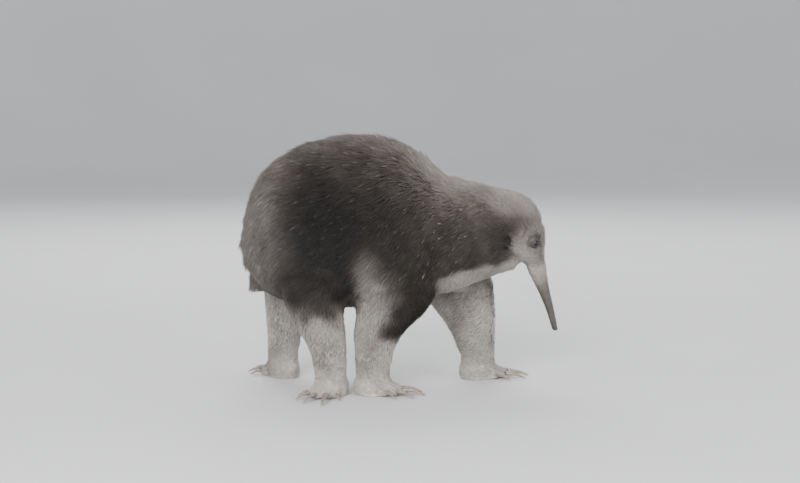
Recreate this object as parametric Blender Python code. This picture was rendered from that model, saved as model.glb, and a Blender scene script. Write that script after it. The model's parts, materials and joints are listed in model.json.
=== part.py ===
"""A long-beaked echidna at life size, walking with its head low.

The trunk, neck, legs, head and feet grow from fused lofts and are parted by thin cuts.
Spines are fused to the torso and neck; eyes, ears, tail and claws are set on their hosts.
Units are metres, +X is forward, +Y is the animal's left and +Z is up.
"""

import math
import random

import bmesh
import bpy
from mathutils import Matrix, Vector
from mathutils.bvhtree import BVHTree

MM = 0.001
GAP = 0.3 * MM
SEED = 41

# How fine the lofts and the fused forms are: sides round each loft, then voxel size,
# smoothing rounds and triangles of each fused form
TRUNK_SIDES = 36
LEG_SIDES = 20
MUZZLE_SIDES = 12
TAIL_SIDES = 14
BODY_FUSE = (3.2 * MM, 8, 3300)
FRONT_FUSE = (1.8 * MM, 8, 3000)
FOOT_FUSE = (1.5 * MM, 3, 680)

# Trunk and neck, rump to brow: x, top, bottom and half width of the coat's outline, in mm
TRUNK = (
    (-146, 141, 139, 1),
    (-134, 179, 101, 40),
    (-108, 213, 82, 60),
    (-70, 231, 75, 72),
    (-22, 235.5, 75, 76),
    (14, 223.5, 81, 69),
    (48, 199, 90, 52),
    (84, 190, 104, 37),
    (112, 183, 114, 26),
)
WIDEST_AT = 0.42
LOWER_FULLNESS = 0.86

# How far the spines' tips rise over the core of the torso and neck
TORSO_RISE = 7.0 * MM
NECK_RISE = 4.5 * MM

# Skull dome: centre and radii in mm
DOME_CENTRE = (102, 0, 149)
DOME_RADII = (35.5, 27, 35)

# Muzzle and beak, from inside the head to the tip: x, z, half depth and half width, in mm
MUZZLE = (
    (114, 147, 26, 22),
    (121.5, 131, 18.5, 17),
    (128.5, 118, 11.8, 12.2),
    (132.1, 107, 8.6, 9),
    (135.5, 97, 6.6, 7),
    (139.3, 86, 5, 5.4),
    (143.9, 72, 3.7, 4.1),
    (148.6, 54, 2.7, 3.3),
)
BEAK_ROUND = 2.4 * MM
BEAK_ROUND_STEPS = (25, 50, 72)

# Legs, from inside the trunk to the foot: x, y, z, half depth and half width, in mm
LEGS = {
    "foreleg_right": (
        (4, -26, 126, 30, 22),
        (0, -42, 100, 38, 28),
        (-4, -46, 78, 33, 25),
        (-15, -46, 58, 24, 21),
        (-19.5, -45, 40, 18.5, 17),
        (-21, -44, 22, 16, 15),
        (-21, -44, 8, 14, 14),
    ),
    "foreleg_left": (
        (43, 22, 118, 27, 18),
        (55.5, 37, 95, 36, 24),
        (64, 41, 72, 32, 23),
        (70.5, 42, 56, 26, 20),
        (75, 42, 41, 21, 17),
        (78, 42, 26, 17.5, 15.5),
        (78.5, 42, 8, 15, 14),
    ),
    "hindleg_right": (
        (-72, -26, 134, 28, 24),
        (-74, -45, 106, 34, 30),
        (-72, -52, 78, 26, 24),
        (-65, -53, 55, 20.5, 19),
        (-60.5, -52, 36, 16.5, 16),
        (-59.5, -51, 22, 15, 15),
        (-59, -50, 8, 14, 14),
    ),
    "hindleg_left": (
        (-84, 24, 134, 28, 24),
        (-93, 45, 104, 34, 30),
        (-100, 52, 76, 27, 24),
        (-105, 53, 54, 20.5, 19),
        (-108, 52, 36, 16.5, 16),
        (-109, 51, 22, 15, 15),
        (-109, 50, 8, 14, 14),
    ),
}

# Arched cut that frees each leg from the trunk: middle x, half width, spring and top, in mm
LEG_ARCHES = {
    "foreleg_right": (1, 42, 84, 116),
    "foreleg_left": (57, 46, 70, 98),
    "hindleg_right": (-72, 29, 92, 124),
    "hindleg_left": (-96, 36, 92, 124),
}
ARCH_INNER_Y = 14 * MM
ARCH_OUTER_Y = 150 * MM
ARCH_UNDER_Z = -20 * MM
ARCH_STEPS = 10
ANKLE_Z = 22 * MM
CUTTER_SIZE = 400 * MM

# Flat cuts across the neck and the beak: a point in mm and the direction towards the tip
NECK_CUT = ((53.5, 0, 140), (0.97, 0, 0.24))
HEAD_CUT = ((88, 0, 147), (0.94, 0, 0.34))
BEAK_CUT = ((126, 0, 111), (0.31, 0, -0.95))

# Tail stub: x, z and radius in mm, the way it points and the steps that round its end
TAIL = ((-110, 118, 16), (-121, 106, 13.5), (-129, 97, 10.5), (-134, 91, 7))
TAIL_WAY = Vector((-0.66, 0, -0.75)).normalized()
TAIL_ROUND_STEPS = (35, 65)

# Feet: the pad's radii and the toes' reach in mm, and where each foot's toes point, in degrees
PAD = {"fore": (19, 18, 15), "hind": (20, 15.5, 15)}
PAD_CENTRE_Z = 8
FEET = {
    "forefoot_right": ("foreleg_right", "fore", -14),
    "forefoot_left": ("foreleg_left", "fore", 8),
    "hindfoot_right": ("hindleg_right", "hind", -118),
    "hindfoot_left": ("hindleg_left", "hind", 128),
}
# Toes from the inner to the outer: angle from the foot's axis, toe reach, claw length, radius
TOES = {
    "fore": (
        (-41, 20, 12, 3.0),
        (-20, 25, 17, 3.6),
        (0, 27, 19, 3.8),
        (20, 25.5, 16, 3.5),
        (41, 20, 12, 2.9),
    ),
    "hind": (
        (-44, 19, 9, 2.6),
        (-21, 24.5, 26, 3.5),
        (1, 25.5, 19, 3.3),
        (22, 23.5, 13, 3.0),
        (44, 19, 9, 2.6),
    ),
}
TOE_RADIUS = 5.2 * MM
TOE_HEIGHT = 5.0 * MM
TOE_ARCH = 3.5 * MM
CLAW_STEPS = 4
CLAW_ARCH = 0.22
CLAW_FLATNESS = 0.72
CLAW_TIP_Z = 1.1 * MM

# Eyes, ears, nostrils and mouth, in mm
EYE_AT = (129.5, 136)
EYE_RADIUS = 3.4 * MM
EYE_DEPTH = 1.5 * MM
LID_THICK = 1.05 * MM
LID_RISE = 0.25 * MM
LID_UP = Vector((0.25, 0, 1))
LID_RADII = (EYE_RADIUS + 0.5 * MM, EYE_RADIUS - 0.35 * MM)
LID_TURNS = 16
LID_SIDES = 6
EAR_AT = (104, 137)
EAR_RADII = (4.8, 3.8, 6.4)
EAR_HOLLOW_RADII = (3.2, 3.4, 4.5)
EAR_HOLLOW_AT = (1.3, 2.2, 0)
EAR_RISE = 0.6 * MM
EAR_TILT = 18
NOSTRIL_UP = 5.5 * MM
NOSTRIL_AT = (3.1 * MM, 1.5 * MM)
NOSTRIL_RADII = (1.7, 0.7, 1.1)
MOUTH_LENGTH = 9.0 * MM
MOUTH_WIDTH = 0.6 * MM
MOUTH_LOWER = 0.8 * MM
MOUTH_FRONT = 1.2 * MM
MOUTH_INSIDE = 2.1 * MM

# Spines: length out of the core, root radius and lift off the surface in degrees
SPINE_SIZES = {
    "rump": (16.5 * MM, 1.2 * MM, 31),
    "back": (15.0 * MM, 1.15 * MM, 32),
    "flank": (13.0 * MM, 1.05 * MM, 32),
    "neck": (10.0 * MM, 0.95 * MM, 31),
}
SPINE_ROOT = 4.5 * MM
SPINE_WAIST = (0.55, 0.72)
SPINE_VARIES = 0.14
SPINE_SWING = 12
SPINE_SPACING = {"torso": 12.6 * MM, "neck": 11.5 * MM}
SPINE_SIDES = 4
SPINE_TRIES = 12000
SPINE_CHECKS = 16
SPINE_LOWEST = {"torso": -0.30, "neck": -0.10}
SPINE_FLOOR_Z = {"torso": 96 * MM, "neck": 120 * MM}
LIE = Vector((-1, 0, -0.3)).normalized()
CLEARANCE = 0.35 * MM

COLOURS = {
    "coat_dark": ((0.045, 0.034, 0.027), 0.9),
    "coat_grey": ((0.16, 0.135, 0.115), 0.9),
    "coat_pale": ((0.30, 0.26, 0.22), 0.9),
    "bare_skin": ((0.40, 0.33, 0.29), 0.6),
    "horn": ((0.33, 0.28, 0.22), 0.4),
    "eye_dark": ((0.01, 0.009, 0.009), 0.1),
}


def mm(values):
    """A vector in metres from values in millimetres."""
    return Vector([value * MM for value in values])


def clear_scene():
    """Empty the scene of everything that it starts with."""
    for thing in list(bpy.data.objects):
        bpy.data.objects.remove(thing, do_unlink=True)


def material(name):
    """The Principled material of one of the named colours."""
    made = bpy.data.materials.get(name)
    if made:
        return made
    colour, roughness = COLOURS[name]
    made = bpy.data.materials.new(name)
    made.use_nodes = True
    shader = made.node_tree.nodes["Principled BSDF"]
    shader.inputs["Base Color"].default_value = (*colour, 1)
    shader.inputs["Roughness"].default_value = roughness
    shader.inputs["Metallic"].default_value = 0
    return made


def new_object(name, bm):
    """An object from a finished bmesh, with its faces turned outward."""
    bmesh.ops.recalc_face_normals(bm, faces=bm.faces)
    mesh = bpy.data.meshes.new(name)
    bm.to_mesh(mesh)
    bm.free()
    thing = bpy.data.objects.new(name, mesh)
    bpy.context.scene.collection.objects.link(thing)
    return thing


def discard(*things):
    """Remove working objects."""
    for thing in things:
        bpy.data.objects.remove(thing, do_unlink=True)


def bake(thing):
    """Apply an object's modifiers to its mesh."""
    seen = thing.evaluated_get(bpy.context.evaluated_depsgraph_get())
    mesh = bpy.data.meshes.new_from_object(seen)
    thing.modifiers.clear()
    thing.data = mesh
    return thing


def combine(thing, other, operation):
    """Apply a Boolean of one object with another, and remove the other."""
    step = thing.modifiers.new("combine", "BOOLEAN")
    step.operation = operation
    step.object = other
    step.solver = "EXACT"
    bake(thing)
    discard(other)
    return thing


def copy_of(thing, name):
    """An independent copy of an object."""
    twin = bpy.data.objects.new(name, thing.data.copy())
    bpy.context.scene.collection.objects.link(twin)
    return twin


def shells(bm):
    """The separate closed surfaces of a bmesh, as lists of faces."""
    waiting = set(bm.faces)
    found = []
    while waiting:
        start = waiting.pop()
        group, edge = [start], [start]
        while edge:
            face = edge.pop()
            for side in face.edges:
                for near in side.link_faces:
                    if near in waiting:
                        waiting.remove(near)
                        group.append(near)
                        edge.append(near)
        found.append(group)
    return found


def extent(faces):
    """The diagonal of the box round some faces."""
    places = [v.co for face in faces for v in face.verts]
    spans = [max(p[i] for p in places) - min(p[i] for p in places) for i in range(3)]
    return Vector(spans).length


def keep_largest(thing):
    """Keep only the largest closed surface of an object."""
    bm = bmesh.new()
    bm.from_mesh(thing.data)
    found = sorted(shells(bm), key=extent)
    for group in found[:-1]:
        bmesh.ops.delete(bm, geom=group, context="FACES")
    bm.to_mesh(thing.data)
    bm.free()
    return thing


def spline(rows, steps):
    """Rows on a Catmull-Rom curve through the given rows, steps to each span."""
    first = tuple(2 * a - b for a, b in zip(rows[0], rows[1]))
    last = tuple(2 * a - b for a, b in zip(rows[-1], rows[-2]))
    ends = [first, *rows, last]
    smooth = []
    for i in range(1, len(ends) - 2):
        for k in range(steps):
            smooth.append(between(ends[i - 1 : i + 3], k / steps))
    smooth.append(tuple(rows[-1]))
    return smooth


def between(four, t):
    """The Catmull-Rom row at t between the middle two of four rows."""
    weights = (
        -0.5 * t + t * t - 0.5 * t**3,
        1 - 2.5 * t * t + 1.5 * t**3,
        0.5 * t + 2 * t * t - 1.5 * t**3,
        -0.5 * t * t + 0.5 * t**3,
    )
    return tuple(sum(w * row[i] for w, row in zip(weights, four)) for i in range(len(four[0])))


def loft(name, rings):
    """A closed skin over rings of points, capped at both ends."""
    bm = bmesh.new()
    loops = [[bm.verts.new(point) for point in ring] for ring in rings]
    count = len(loops[0])
    for low, high in zip(loops, loops[1:]):
        for i in range(count):
            j = (i + 1) % count
            bm.faces.new((low[i], low[j], high[j], high[i]))
    bm.faces.new(reversed(loops[0]))
    bm.faces.new(loops[-1])
    return new_object(name, bm)


def ease(low, high, value):
    """A smooth step from 0 at low to 1 at high."""
    t = min(1.0, max(0.0, (value - low) / (high - low)))
    return t * t * (3 - 2 * t)


def coat_rise(x, up):
    """How far the core lies under the coat's outline at x, where up is -1 under and 1 on top."""
    along = ease(0.105, 0.07, x)
    forward = ease(0.03, 0.065, x)
    rise = TORSO_RISE + (NECK_RISE - TORSO_RISE) * forward
    return rise * along * ease(-0.75, -0.25, up)


def trunk_ring(row, sides):
    """One upright ring of the trunk, inset where spines rise over it."""
    x, top, bottom, half = [value * MM for value in row]
    middle = bottom + (top - bottom) * WIDEST_AT
    points = []
    for i in range(sides):
        angle = math.tau * i / sides
        across, up = math.cos(angle), math.sin(angle)
        depth = coat_rise(x, up)
        reach_y = max(half - depth, 0.3 * half)
        if up >= 0:
            z = middle + max(top - middle - depth, 0.3 * (top - middle)) * up
        else:
            z = middle - (middle - bottom - 0.5 * depth) * abs(up) ** LOWER_FULLNESS
        points.append((x, reach_y * across, z))
    return points


def trunk_form():
    """Trunk and neck as one loft from the rump to the brow."""
    rows = spline(TRUNK, 6)
    first = tuple(value * MM for value in TRUNK[0])
    rings = []
    for row in rows:
        ring = trunk_ring(row, TRUNK_SIDES)
        shift = TORSO_RISE * (1 - ease(first[0], first[0] + 0.03, row[0] * MM))
        rings.append([(x + shift, y, z) for x, y, z in ring])
    return loft("trunk_form", rings)


def level_rings(rows, sides):
    """Level rings round an upright limb, from rows of x, y, z, half depth and half width."""
    rings = []
    for x, y, z, depth, width in rows:
        ring = []
        for i in range(sides):
            angle = math.tau * i / sides
            ring.append(mm((x + depth * math.cos(angle), y + width * math.sin(angle), z)))
        rings.append(ring)
    return rings


def leg_form(leg):
    """The loft of one leg."""
    return loft(leg + "_form", level_rings(spline(LEGS[leg], 4), LEG_SIDES))


def muzzle_form(name):
    """The loft of the muzzle and beak, rounded at its tip."""
    rows = [(x, 0, z, depth, width) for x, z, depth, width in spline(MUZZLE, 3)]
    x, _, z, depth, width = rows[-1]
    lean_x, lean_z = x - rows[-2][0], z - rows[-2][2]
    size = math.hypot(lean_x, lean_z)
    for angle in BEAK_ROUND_STEPS:
        out = BEAK_ROUND / MM * math.sin(math.radians(angle)) / size
        left = math.cos(math.radians(angle))
        rows.append((x + lean_x * out, 0, z + lean_z * out, depth * left, width * left))
    return loft(name, level_rings(rows, MUZZLE_SIDES))


def ball(name, centre, radii, across=20, down=12):
    """An ellipsoid at a centre, both in metres."""
    bm = bmesh.new()
    bmesh.ops.create_uvsphere(bm, u_segments=across, v_segments=down, radius=1)
    bmesh.ops.scale(bm, vec=radii, verts=bm.verts)
    bmesh.ops.translate(bm, vec=centre, verts=bm.verts)
    return new_object(name, bm)


def fused(name, pieces, fineness):
    """One smooth closed form from overlapping pieces, brought down to a number of triangles."""
    voxel, rounds, triangles = fineness
    bm = bmesh.new()
    for piece in pieces:
        bm.from_mesh(piece.data)
    discard(*pieces)
    whole = new_object(name, bm)
    remesh = whole.modifiers.new("fuse", "REMESH")
    remesh.mode = "VOXEL"
    remesh.voxel_size = voxel
    smooth = whole.modifiers.new("smooth", "SMOOTH")
    smooth.factor = 0.5
    smooth.iterations = rounds
    bake(whole)
    fewer = whole.modifiers.new("fewer", "DECIMATE")
    fewer.ratio = triangles / (2 * len(whole.data.polygons))
    return bake(whole)


def beyond(name, cut, offset):
    """A block that fills the space past a flat cut, from an offset along its direction."""
    point, towards = mm(cut[0]), Vector(cut[1]).normalized()
    bm = bmesh.new()
    bmesh.ops.create_cube(bm, size=CUTTER_SIZE)
    turn = Vector((0, 0, 1)).rotation_difference(towards).to_matrix().to_4x4()
    middle = point + towards * (CUTTER_SIZE / 2 + offset)
    bmesh.ops.transform(bm, matrix=Matrix.Translation(middle) @ turn, verts=bm.verts)
    return new_object(name, bm)


def arch(leg, grow):
    """The arched block round a leg, grown on every side."""
    middle, half, spring, top = [value * MM for value in LEG_ARCHES[leg]]
    side = 1 if leg.endswith("left") else -1
    outline = [(middle + half + grow, ARCH_UNDER_Z), (middle + half + grow, spring)]
    for i in range(1, ARCH_STEPS):
        angle = math.pi * i / ARCH_STEPS
        x = middle + (half + grow) * math.cos(angle)
        outline.append((x, spring + (top - spring + grow) * math.sin(angle)))
    outline += [(middle - half - grow, spring), (middle - half - grow, ARCH_UNDER_Z)]
    inner, outer = side * (ARCH_INNER_Y - grow), side * ARCH_OUTER_Y
    return loft(leg + "_arch", [[(x, y, z) for x, z in outline] for y in (inner, outer)])


def part_body(body):
    """Torso, neck and legs, parted from the fused body by thin cuts."""
    legs = []
    for leg in LEGS:
        piece = copy_of(body, leg)
        combine(piece, arch(leg, 0), "INTERSECT")
        combine(piece, beyond("cut", ((0, 0, 0), (0, 0, -1)), -ANKLE_Z), "DIFFERENCE")
        legs.append(keep_largest(piece))
    for leg in LEGS:
        combine(body, arch(leg, GAP), "DIFFERENCE")
    neck = copy_of(body, "neck")
    combine(neck, beyond("cut", NECK_CUT, GAP), "INTERSECT")
    combine(neck, beyond("cut", HEAD_CUT, 0), "DIFFERENCE")
    torso = combine(body, beyond("cut", NECK_CUT, 0), "DIFFERENCE")
    torso.name = "torso"
    return keep_largest(torso), keep_largest(neck), legs


def inflated(thing, name, by):
    """A copy of an object with its surface moved outward."""
    bm = bmesh.new()
    bm.from_mesh(thing.data)
    bm.normal_update()
    for vert in bm.verts:
        vert.co += vert.normal * by * min(vert.calc_shell_factor(), 1.6)
    return new_object(name, bm)


def seated(piece, host):
    """Cut a piece back to the surface of its host, with the gap between touching faces."""
    combine(piece, inflated(host, "seat", GAP), "DIFFERENCE")
    return keep_largest(piece)


def surface(thing):
    """A search tree over an object's faces."""
    bm = bmesh.new()
    bm.from_mesh(thing.data)
    tree = BVHTree.FromBMesh(bm)
    bm.free()
    return tree


def side_of_head(head, place, side):
    """Where a line from the side meets the head at x and z, and the outward normal there."""
    start = Vector((place[0] * MM, side * 0.1, place[1] * MM))
    point, normal, _, _ = surface(head).ray_cast(start, Vector((0, -side, 0)))
    return point, normal


def ring_tube(name, centre, axis, up, radii, thick):
    """A closed ring of oval outline round an axis."""
    axis = axis.normalized()
    across = axis.cross(up).normalized()
    rise = across.cross(axis)
    bm = bmesh.new()
    loops = []
    for i in range(LID_TURNS):
        angle = math.tau * i / LID_TURNS
        out = across * math.cos(angle) * radii[0] + rise * math.sin(angle) * radii[1]
        away = out.normalized()
        ring = []
        for k in range(LID_SIDES):
            round_it = math.tau * k / LID_SIDES
            bend = away * math.cos(round_it) + axis * math.sin(round_it)
            ring.append(bm.verts.new(centre + out + bend * thick))
        loops.append(ring)
    for i in range(LID_TURNS):
        one, two = loops[i], loops[(i + 1) % LID_TURNS]
        for k in range(LID_SIDES):
            j = (k + 1) % LID_SIDES
            bm.faces.new((one[k], two[k], two[j], one[j]))
    return new_object(name, bm)


def add_eye(head, side, name):
    """An eye in its socket, with lids raised round it."""
    point, normal = side_of_head(head, EYE_AT, side)
    centre = point - normal * EYE_DEPTH
    lids = ring_tube("lids", point + normal * LID_RISE, normal, LID_UP, LID_RADII, LID_THICK)
    combine(head, lids, "UNION")
    socket = ball("socket", centre, (EYE_RADIUS + GAP,) * 3, 16, 10)
    combine(head, socket, "DIFFERENCE")
    return ball(name, centre, (EYE_RADIUS,) * 3, 12, 6)


def make_ear(head, side, name):
    """A small cup that opens forward and outward, seated on the side of the head."""
    point, normal = side_of_head(head, EAR_AT, side)
    cup = ball(name, (0, 0, 0), mm(EAR_RADII), 12, 8)
    hollow = ball("hollow", mm(EAR_HOLLOW_AT), mm(EAR_HOLLOW_RADII), 10, 6)
    combine(cup, hollow, "DIFFERENCE")
    turn = Matrix.Rotation(math.radians(-EAR_TILT * side), 4, "X")
    mirror = Matrix.Diagonal((1, side, 1, 1))
    place = Matrix.Translation(point + normal * EAR_RISE)
    bm = bmesh.new()
    bm.from_mesh(cup.data)
    bmesh.ops.transform(bm, matrix=place @ turn @ mirror, verts=bm.verts)
    bmesh.ops.recalc_face_normals(bm, faces=bm.faces)
    bm.to_mesh(cup.data)
    bm.free()
    return seated(cup, head)


def head_and_beak(front):
    """The head and the beak, parted from the fused front of the animal."""
    head = combine(front, beyond("cut", HEAD_CUT, GAP), "INTERSECT")
    combine(head, beyond("cut", BEAK_CUT, 0), "DIFFERENCE")
    head.name = "head"
    beak = combine(muzzle_form("beak"), beyond("cut", BEAK_CUT, GAP), "INTERSECT")
    cut_mouth(beak)
    return keep_largest(head), keep_largest(beak)


def beak_frame():
    """The beak's tip, the direction along it to the tip, and the way to its upper side."""
    rows = spline(MUZZLE, 3)
    tip = mm((rows[-1][0], 0, rows[-1][1]))
    along = (tip - mm((rows[-4][0], 0, rows[-4][1]))).normalized()
    return tip, along, Vector((-along.z, 0, along.x))


def cut_mouth(beak):
    """The line of the mouth round the tip, and a nostril on each side above it."""
    tip, along, upper = beak_frame()
    frame = Matrix((along, (0, 1, 0), upper)).transposed().to_4x4()
    bm = bmesh.new()
    bmesh.ops.create_cube(bm, size=1)
    blade = (2 * MOUTH_LENGTH, 2 * MOUTH_LENGTH, MOUTH_WIDTH)
    bmesh.ops.scale(bm, vec=blade, verts=bm.verts)
    middle = tip + along * BEAK_ROUND - upper * MOUTH_LOWER
    bmesh.ops.transform(bm, matrix=Matrix.Translation(middle) @ frame, verts=bm.verts)
    slit = new_object("slit", bm)
    inside = middle - along * (MOUTH_FRONT + MOUTH_LENGTH)
    bm = bmesh.new()
    bmesh.ops.create_cube(bm, size=1)
    whole = (2 * MOUTH_LENGTH, 2 * MOUTH_INSIDE, 4 * MOUTH_WIDTH)
    bmesh.ops.scale(bm, vec=whole, verts=bm.verts)
    bmesh.ops.transform(bm, matrix=Matrix.Translation(inside) @ frame, verts=bm.verts)
    combine(slit, new_object("inside", bm), "DIFFERENCE")
    combine(beak, slit, "DIFFERENCE")
    for side in (-1, 1):
        bm = bmesh.new()
        bmesh.ops.create_uvsphere(bm, u_segments=10, v_segments=6, radius=1)
        bmesh.ops.scale(bm, vec=mm(NOSTRIL_RADII), verts=bm.verts)
        rise, apart = NOSTRIL_AT
        place = tip - along * NOSTRIL_UP + upper * rise + Vector((0, side * apart, 0))
        bmesh.ops.transform(bm, matrix=Matrix.Translation(place) @ frame, verts=bm.verts)
        combine(beak, new_object("nostril", bm), "DIFFERENCE")


def make_tail(torso):
    """The short tail stub under the rump."""
    rows = spline(TAIL, 3)
    x, z, radius = rows[-1]
    for angle in TAIL_ROUND_STEPS:
        out = TAIL_WAY * radius * math.sin(math.radians(angle))
        rows.append((x + out.x, z + out.z, radius * math.cos(math.radians(angle))))
    turn = Vector((0, 0, 1)).rotation_difference(TAIL_WAY).to_matrix()
    rings = []
    for x, z, radius in rows:
        ring = []
        for i in range(TAIL_SIDES):
            angle = math.tau * i / TAIL_SIDES
            flat = Vector((radius * math.cos(angle), radius * math.sin(angle), 0)) * MM
            ring.append(mm((x, 0, z)) + turn @ flat)
        rings.append(ring)
    return seated(loft("tail", rings), torso)


def foot_place(foot):
    """The sole's centre and the direction of a foot's toes."""
    leg, _, heading = FEET[foot]
    x, y = LEGS[leg][-1][:2]
    angle = math.radians(heading)
    return mm((x, y, 0)), Vector((math.cos(angle), math.sin(angle), 0))


def toe_ways(foot):
    """Each toe's number, direction, reach, claw length and claw radius."""
    _, kind, _ = FEET[foot]
    _, forward = foot_place(foot)
    outward = 1 if foot.endswith("left") else -1
    for number, (angle, reach, claw, radius) in enumerate(TOES[kind], 1):
        turn = Matrix.Rotation(math.radians(angle * outward), 3, "Z")
        yield number, turn @ forward, reach * MM, claw * MM, radius * MM


def make_foot(foot):
    """A paw with five toes and a flat sole, parted from its leg at the ankle."""
    leg, kind, heading = FEET[foot]
    sole, forward = foot_place(foot)
    rx, ry, rz = [value * MM for value in PAD[kind]]
    pad = ball("pad", (0, 0, 0), (rx, ry, rz))
    place = Matrix.Translation(sole + Vector((0, 0, PAD_CENTRE_Z * MM)))
    turn = Matrix.Rotation(math.radians(heading), 4, "Z")
    pad.data.transform(place @ turn)
    pieces = [pad, leg_form(leg)]
    for number, way, reach, _, _ in toe_ways(foot):
        for k in range(4):
            middle = sole + way * reach * (0.45 + 0.5 * k / 3)
            middle.z = TOE_HEIGHT + TOE_ARCH * (1 - (k / 3) ** 2)
            size = TOE_RADIUS * (1.05 - 0.06 * k)
            pieces.append(ball("toe_" + str(number), middle, (size, size, size), 12, 8))
    whole = fused(foot, pieces, FOOT_FUSE)
    combine(whole, beyond("cut", ((0, 0, 0), (0, 0, 1)), ANKLE_Z - GAP), "DIFFERENCE")
    combine(whole, beyond("cut", ((0, 0, 0), (0, 0, -1)), 0), "DIFFERENCE")
    return keep_largest(whole)


def claw_form(name, root, way, length, radius):
    """A tapering claw that leaves the toe level and arches down to just over the floor."""
    up = Vector((0, 0, 1))
    side = up.cross(way).normalized()
    rings = []
    for k in range(CLAW_STEPS + 1):
        t = k / CLAW_STEPS
        place = root + way * length * t
        place.z = root.z + (CLAW_TIP_Z - root.z) * t * t + CLAW_ARCH * length * t * (1 - t)
        slope = 2 * t * (CLAW_TIP_Z - root.z) / length + CLAW_ARCH * (1 - 2 * t)
        rise = (up - way * slope).normalized()
        size = radius * max(1 - t, 0.04) ** 0.5
        ring = []
        for i in range(6):
            angle = math.tau * i / 6
            out = side * math.cos(angle) + rise * CLAW_FLATNESS * math.sin(angle)
            ring.append(place + out * size)
        rings.append(ring)
    return loft(name, rings)


def make_claws(foot, host):
    """The five claws of one foot, each seated on the end of its toe."""
    sole, _ = foot_place(foot)
    claws = []
    for number, way, reach, length, radius in toe_ways(foot):
        root = sole + way * (reach * 0.95)
        root.z = TOE_HEIGHT
        whole = length + TOE_RADIUS
        name = foot.replace("foot", "claw") + "_" + str(number)
        claws.append(seated(claw_form(name, root, way, whole, radius), host))
    return claws


def surface_points(host, tries, draw):
    """Random places on a host's faces, each with its outward normal, spread by area."""
    mesh = host.data
    mesh.calc_loop_triangles()
    triangles = list(mesh.loop_triangles)
    weights = [triangle.area for triangle in triangles]
    for triangle in draw.choices(triangles, weights, k=tries):
        a, b, c = [mesh.vertices[i].co for i in triangle.vertices]
        u, v = draw.random(), draw.random()
        if u + v > 1:
            u, v = 1 - u, 1 - v
        yield a + (b - a) * u + (c - a) * v, triangle.normal.copy()


def grows_spines(host, place, normal):
    """Whether a place on the torso or neck is in the spiny part of the coat."""
    if host.name == "neck" and abs(normal.dot(Vector(NECK_CUT[1]).normalized())) > 0.9:
        return False
    return place.z > SPINE_FLOOR_Z[host.name] and normal.z > SPINE_LOWEST[host.name]


def spine_size(host, place):
    """The named size that grows at a place."""
    if host.name == "neck":
        return SPINE_SIZES["neck"]
    if place.x < -0.10:
        return SPINE_SIZES["rump"]
    return SPINE_SIZES["back" if place.z > 0.16 else "flank"]


def spine_axis(normal, lift, swing):
    """The way a spine points, lying back along the coat and lifted off the surface."""
    back = (LIE - normal * LIE.dot(normal)).normalized()
    back.rotate(Matrix.Rotation(math.radians(swing), 3, normal))
    return back * math.cos(math.radians(lift)) + normal * math.sin(math.radians(lift))


def spine_form(place, axis, length, radius):
    """One spine: a sunk root, a waist and a point."""
    across = axis.orthogonal().normalized()
    upward = axis.cross(across)
    waist, slim = SPINE_WAIST
    bm = bmesh.new()
    loops = []
    for along, size in ((-SPINE_ROOT, radius), (length * waist, radius * slim)):
        ring = []
        for i in range(SPINE_SIDES):
            angle = math.tau * i / SPINE_SIDES
            out = across * math.cos(angle) + upward * math.sin(angle)
            ring.append(bm.verts.new(place + axis * along + out * size))
        loops.append(ring)
    tip = bm.verts.new(place + axis * length)
    for i in range(SPINE_SIDES):
        j = (i + 1) % SPINE_SIDES
        bm.faces.new((loops[0][i], loops[0][j], loops[1][j], loops[1][i]))
        bm.faces.new((loops[1][i], loops[1][j], tip))
    bm.faces.new(reversed(loops[0]))
    return new_object("spine", bm)


def crowded(place, axis, length, radius, others):
    """Whether a spine would come too near another node anywhere along it."""
    for k in range(SPINE_CHECKS + 1):
        point = place + axis * (-SPINE_ROOT + (length + SPINE_ROOT) * k / SPINE_CHECKS)
        for tree in others:
            if tree.find_nearest(point, radius + CLEARANCE)[0] is not None:
                return True
    return False


def add_spines(host, others):
    """Set seeded spines evenly over a host and fuse them to it."""
    draw = random.Random(SEED + len(host.name))
    trees = [surface(other) for other in others]
    spacing = SPINE_SPACING[host.name]
    set_places, spines = [], []
    for place, normal in surface_points(host, SPINE_TRIES, draw):
        if not grows_spines(host, place, normal):
            continue
        if any((place - near).length < spacing for near in set_places):
            continue
        length, radius, lift = spine_size(host, place)
        length *= 1 + SPINE_VARIES * draw.uniform(-1, 1)
        axis = spine_axis(normal, lift + draw.uniform(-4, 4), draw.uniform(-1, 1) * SPINE_SWING)
        if crowded(place, axis, length, radius, trees):
            continue
        set_places.append(place)
        spines.append(spine_form(place, axis, length, radius))
    return fuse_all(host, spines)


def fuse_all(host, pieces):
    """Join many closed pieces to a host in one union."""
    group = bpy.data.collections.new("pieces")
    for piece in pieces:
        group.objects.link(piece)
    step = host.modifiers.new("fuse", "BOOLEAN")
    step.operation = "UNION"
    step.operand_type = "COLLECTION"
    step.collection = group
    step.solver = "EXACT"
    bake(host)
    discard(*pieces)
    bpy.data.collections.remove(group)
    return keep_largest(host)


def finish(thing, name):
    """Give an object its material and smooth shading."""
    thing.data.materials.clear()
    thing.data.materials.append(material(name))
    thing.data.shade_smooth()
    thing.data.set_sharp_from_angle(angle=math.radians(50))


def centre_model(things):
    """Move every object so that the origin is under the middle of the whole model's box."""
    places = [v.co for thing in things for v in thing.data.vertices]
    middle = [(min(p[i] for p in places) + max(p[i] for p in places)) / 2 for i in (0, 1)]
    low = min(p.z for p in places)
    for thing in things:
        thing.data.transform(Matrix.Translation((-middle[0], -middle[1], -low)))


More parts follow.
